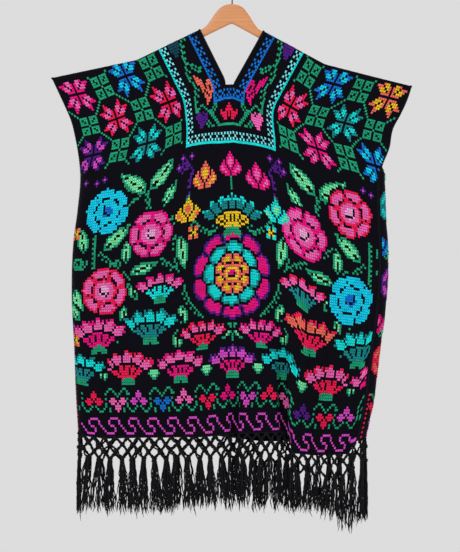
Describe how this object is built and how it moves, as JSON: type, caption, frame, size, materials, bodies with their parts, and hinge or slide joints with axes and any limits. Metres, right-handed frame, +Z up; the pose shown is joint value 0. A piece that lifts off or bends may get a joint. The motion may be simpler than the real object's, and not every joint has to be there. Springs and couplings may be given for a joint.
{
  "type": "poncho on a hanger",
  "caption": "Black cotton poncho with a V neck, open armholes and a knotted fringe, hung on a flat wooden hanger.",
  "frame": {"origin": "inside top of the hanger's hook, where a rail carries it", "axes": "+Z up, the front of the poncho faces -Y, +X to the right seen from the front"},
  "size_m": [0.8454, 0.0981, 1.2925],
  "materials": {
    "black_cotton": "plain weave covered with cross-stitch",
    "black_yarn": "twisted cotton yarn",
    "light_wood": "satin lacquer",
    "dark_steel": "dark wire"
  },
  "bodies": {
    "root": {"front_panel": "black_cotton", "back_panel": "black_cotton", "front_fringe": "black_yarn", "back_fringe": "black_yarn", "hanger_wood": "light_wood", "hanger_hook": "dark_steel"}
  },
  "joints": []
}
